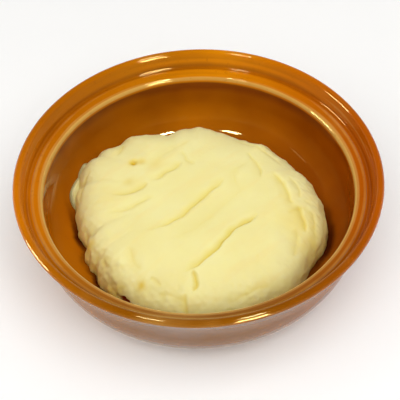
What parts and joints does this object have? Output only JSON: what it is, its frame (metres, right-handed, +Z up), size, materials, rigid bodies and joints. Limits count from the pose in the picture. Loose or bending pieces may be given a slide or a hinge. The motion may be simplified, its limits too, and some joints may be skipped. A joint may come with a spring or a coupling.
{
  "type": "mashed potato side in a bowl",
  "caption": "Round stoneware bowl with a rolled lip and an inner lid ledge, holding a spoon-spread mound of mashed potato.",
  "frame": {"origin": "centre of the bowl's foot, on the surface it stands on", "axes": "+Z up along the bowl's axis; -Y towards the diner, +X to the diner's right"},
  "size_m": [0.2, 0.2, 0.058],
  "materials": {
    "glaze": "glossy amber-brown glaze, darker where it pools in the groove and paler on the edges",
    "potato": "smooth, moist, pale butter yellow, with a faint sheen and a few deeper yellow spots"
  },
  "bodies": {
    "root": {"bowl": "glaze", "mash": "potato"}
  },
  "joints": []
}
